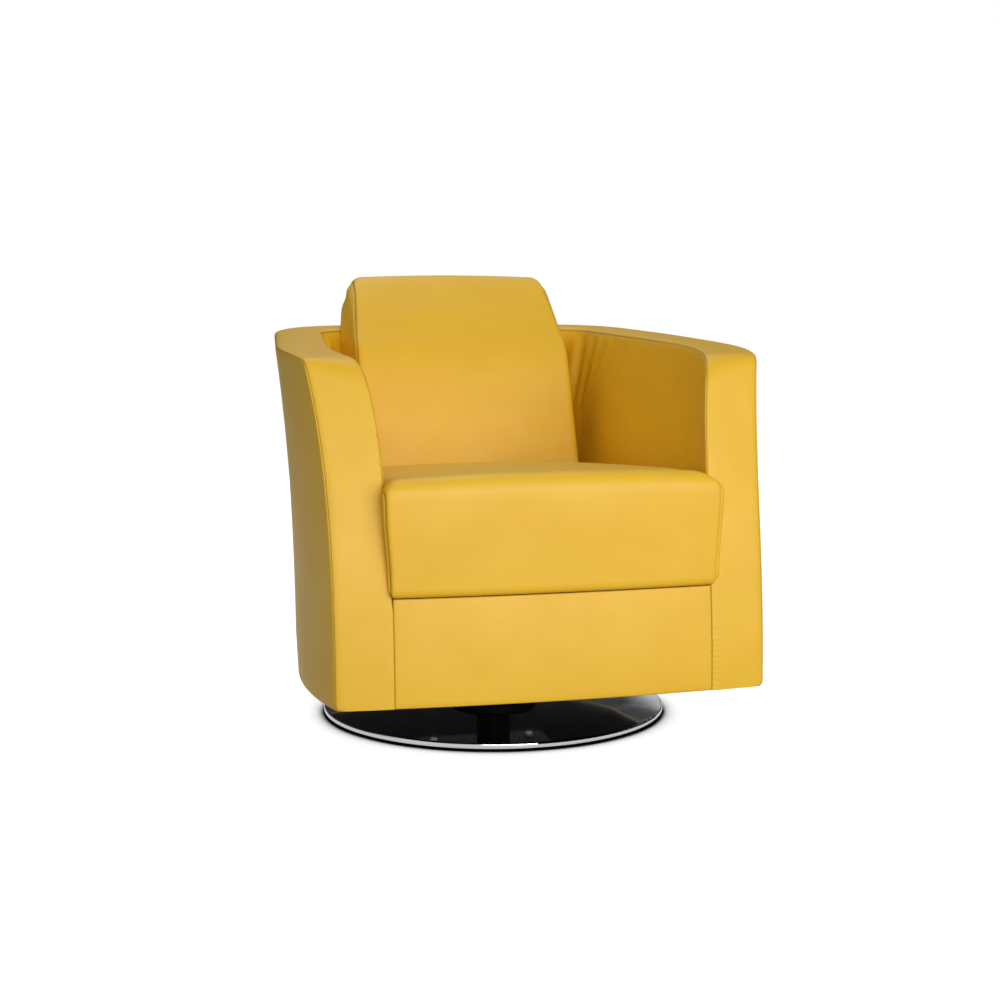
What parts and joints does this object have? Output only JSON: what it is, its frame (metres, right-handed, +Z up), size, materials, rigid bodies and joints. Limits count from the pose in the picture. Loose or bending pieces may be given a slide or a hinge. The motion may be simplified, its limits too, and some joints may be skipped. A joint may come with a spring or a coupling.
{
  "type": "swivel club chair",
  "caption": "Low leather club chair with a tub of flared arms round a thick seat cushion and a reclined back cushion, turning on a polished round disc base.",
  "frame": {"origin": "centre of the underside of the floor pad, on the floor under the swivel axis", "axes": "+Z up along the swivel axis, the chair faces -Y, +X to the right of someone looking at its front"},
  "size_m": [0.779, 0.8501, 0.7681],
  "materials": {
    "black_felt": "matte",
    "chrome": "polished",
    "black_steel": "satin",
    "zinc_steel": "satin",
    "nylon": "satin",
    "plywood": "matte",
    "beech": "matte",
    "hardboard": "matte",
    "felt": "matte",
    "foam": "matte",
    "yellow_leather": "satin",
    "black_cloth": "matte"
  },
  "bodies": {
    "base": {"floor_pad": "black_felt", "base_disc": "chrome", "swivel_post": "black_steel", "flange_screws": "zinc_steel", "upper_bush": "nylon", "lower_bush": "nylon"},
    "chair": {"arm_front_padding_left": "foam", "arm_front_padding_right": "foam", "arm_post_left": "beech", "arm_post_right": "beech", "back_cushion_core": "foam", "back_cushion_cover": "yellow_leather", "back_posts": "beech", "base_board": "plywood", "bottom_cloth": "black_cloth", "front_bearer": "beech", "front_padding": "foam", "front_panel": "yellow_leather", "front_rail": "beech", "inner_cover_back": "yellow_leather", "inner_cover_left": "yellow_leather", "inner_cover_right": "yellow_leather", "inner_padding_back": "foam", "inner_padding_left": "foam", "inner_padding_right": "foam", "lining_back": "hardboard", "lining_left": "hardboard", "lining_right": "hardboard", "outer_cover_back": "yellow_leather", "outer_cover_left": "yellow_leather", "outer_cover_right": "yellow_leather", "outer_padding_back": "foam", "outer_padding_left": "foam", "outer_padding_right": "foam", "plate_bolts": "zinc_steel", "rear_bearer": "beech", "rear_rail": "beech", "rim_band_back": "yellow_leather", "rim_band_left": "yellow_leather", "rim_band_right": "yellow_leather", "rim_board": "plywood", "rim_padding": "foam", "seat_cushion_core": "foam", "seat_cushion_cover": "yellow_leather", "seat_deck": "felt", "seat_springs": "zinc_steel", "side_posts_left": "beech", "side_posts_right": "beech", "side_rail_left": "beech", "side_rail_right": "beech", "spindle_circlip": "zinc_steel", "spring_clips": "zinc_steel", "swivel_plate": "black_steel", "swivel_spindle": "zinc_steel", "tee_nuts": "zinc_steel"}
  },
  "joints": [
    {"name": "swivel", "type": "hinge", "parent": "base", "child": "chair", "pos_m": [0, 0, 0.06], "axis": [0, 0, 1], "continuous": true}
  ]
}
